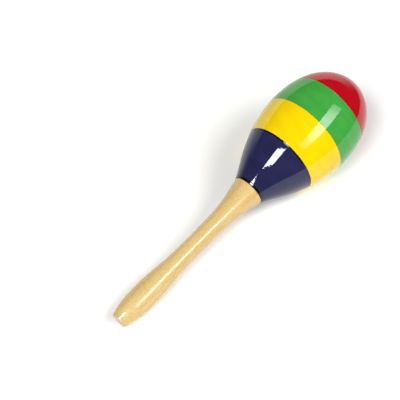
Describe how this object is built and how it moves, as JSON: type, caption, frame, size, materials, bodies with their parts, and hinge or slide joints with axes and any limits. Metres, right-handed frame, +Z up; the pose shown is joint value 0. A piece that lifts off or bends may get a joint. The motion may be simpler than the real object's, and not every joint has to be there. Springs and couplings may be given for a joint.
{
  "type": "maraca",
  "caption": "Turned wooden hand rattle: a hollow egg-shaped head holding loose seeds, enamelled in colour bands, on a slim waisted handle.",
  "frame": {"origin": "on the table, under the middle of the maraca's overall length, as it lies on its belly and the edge of its butt", "axes": "+Z up, +X along the maraca on the table from the butt of the handle to the head, +Y to the left of someone looking along +X"},
  "size_m": [0.2386, 0.068, 0.069],
  "materials": {
    "lacquered_handle_wood": "clear gloss lacquer over pale fine-grained hardwood",
    "bare_head_wood": "bare turned hardwood inside the head",
    "navy_enamel": "high gloss enamel paint",
    "yellow_enamel": "high gloss enamel paint",
    "green_enamel": "high gloss enamel paint",
    "red_enamel": "high gloss enamel paint",
    "black_enamel": "high gloss enamel paint",
    "dried_seed": "smooth hard dried seed"
  },
  "bodies": {
    "maraca": {"handle": "lacquered_handle_wood", "cone_shell": "bare_head_wood", "dome_shell": "bare_head_wood", "neck_line": "black_enamel", "navy_enamel": "navy_enamel", "belt_line": "black_enamel", "yellow_enamel": "yellow_enamel", "green_enamel": "green_enamel", "red_enamel": "red_enamel"},
    "pellet_01": {"pellet_01": "dried_seed"},
    "pellet_02": {"pellet_02": "dried_seed"},
    "pellet_03": {"pellet_03": "dried_seed"},
    "pellet_04": {"pellet_04": "dried_seed"},
    "pellet_05": {"pellet_05": "dried_seed"},
    "pellet_06": {"pellet_06": "dried_seed"},
    "pellet_07": {"pellet_07": "dried_seed"},
    "pellet_08": {"pellet_08": "dried_seed"},
    "pellet_09": {"pellet_09": "dried_seed"},
    "pellet_10": {"pellet_10": "dried_seed"},
    "pellet_11": {"pellet_11": "dried_seed"},
    "pellet_12": {"pellet_12": "dried_seed"},
    "pellet_13": {"pellet_13": "dried_seed"},
    "pellet_14": {"pellet_14": "dried_seed"},
    "pellet_15": {"pellet_15": "dried_seed"},
    "pellet_16": {"pellet_16": "dried_seed"},
    "pellet_17": {"pellet_17": "dried_seed"},
    "pellet_18": {"pellet_18": "dried_seed"},
    "pellet_19": {"pellet_19": "dried_seed"}
  },
  "joints": [
    {"name": "pellet_01_flight", "type": "slide", "parent": "maraca", "child": "pellet_01", "axis": [-0.1457, 0, 0.9893], "range_m": [0, 0.04859]},
    {"name": "pellet_02_flight", "type": "slide", "parent": "maraca", "child": "pellet_02", "axis": [-0.1457, 0, 0.9893], "range_m": [0, 0.05049]},
    {"name": "pellet_03_flight", "type": "slide", "parent": "maraca", "child": "pellet_03", "axis": [-0.1457, 0, 0.9893], "range_m": [0, 0.05168]},
    {"name": "pellet_04_flight", "type": "slide", "parent": "maraca", "child": "pellet_04", "axis": [-0.1457, 0, 0.9893], "range_m": [0, 0.0495]},
    {"name": "pellet_05_flight", "type": "slide", "parent": "maraca", "child": "pellet_05", "axis": [-0.1457, 0, 0.9893], "range_m": [0, 0.05167]},
    {"name": "pellet_06_flight", "type": "slide", "parent": "maraca", "child": "pellet_06", "axis": [-0.1457, 0, 0.9893], "range_m": [0, 0.05315]},
    {"name": "pellet_07_flight", "type": "slide", "parent": "maraca", "child": "pellet_07", "axis": [-0.1457, 0, 0.9893], "range_m": [0, 0.05397]},
    {"name": "pellet_08_flight", "type": "slide", "parent": "maraca", "child": "pellet_08", "axis": [-0.1457, 0, 0.9893], "range_m": [0, 0.04887]},
    {"name": "pellet_09_flight", "type": "slide", "parent": "maraca", "child": "pellet_09", "axis": [-0.1457, 0, 0.9893], "range_m": [0, 0.05135]},
    {"name": "pellet_10_flight", "type": "slide", "parent": "maraca", "child": "pellet_10", "axis": [-0.1457, 0, 0.9893], "range_m": [0, 0.05314]},
    {"name": "pellet_11_flight", "type": "slide", "parent": "maraca", "child": "pellet_11", "axis": [-0.1457, 0, 0.9893], "range_m": [0, 0.05428]},
    {"name": "pellet_12_flight", "type": "slide", "parent": "maraca", "child": "pellet_12", "axis": [-0.1457, 0, 0.9893], "range_m": [0, 0.05478]},
    {"name": "pellet_13_flight", "type": "slide", "parent": "maraca", "child": "pellet_13", "axis": [-0.1457, 0, 0.9893], "range_m": [0, 0.0495]},
    {"name": "pellet_14_flight", "type": "slide", "parent": "maraca", "child": "pellet_14", "axis": [-0.1457, 0, 0.9893], "range_m": [0, 0.05167]},
    {"name": "pellet_15_flight", "type": "slide", "parent": "maraca", "child": "pellet_15", "axis": [-0.1457, 0, 0.9893], "range_m": [0, 0.05315]},
    {"name": "pellet_16_flight", "type": "slide", "parent": "maraca", "child": "pellet_16", "axis": [-0.1457, 0, 0.9893], "range_m": [0, 0.05397]},
    {"name": "pellet_17_flight", "type": "slide", "parent": "maraca", "child": "pellet_17", "axis": [-0.1457, 0, 0.9893], "range_m": [0, 0.04859]},
    {"name": "pellet_18_flight", "type": "slide", "parent": "maraca", "child": "pellet_18", "axis": [-0.1457, 0, 0.9893], "range_m": [0, 0.05049]},
    {"name": "pellet_19_flight", "type": "slide", "parent": "maraca", "child": "pellet_19", "axis": [-0.1457, 0, 0.9893], "range_m": [0, 0.05168]}
  ]
}
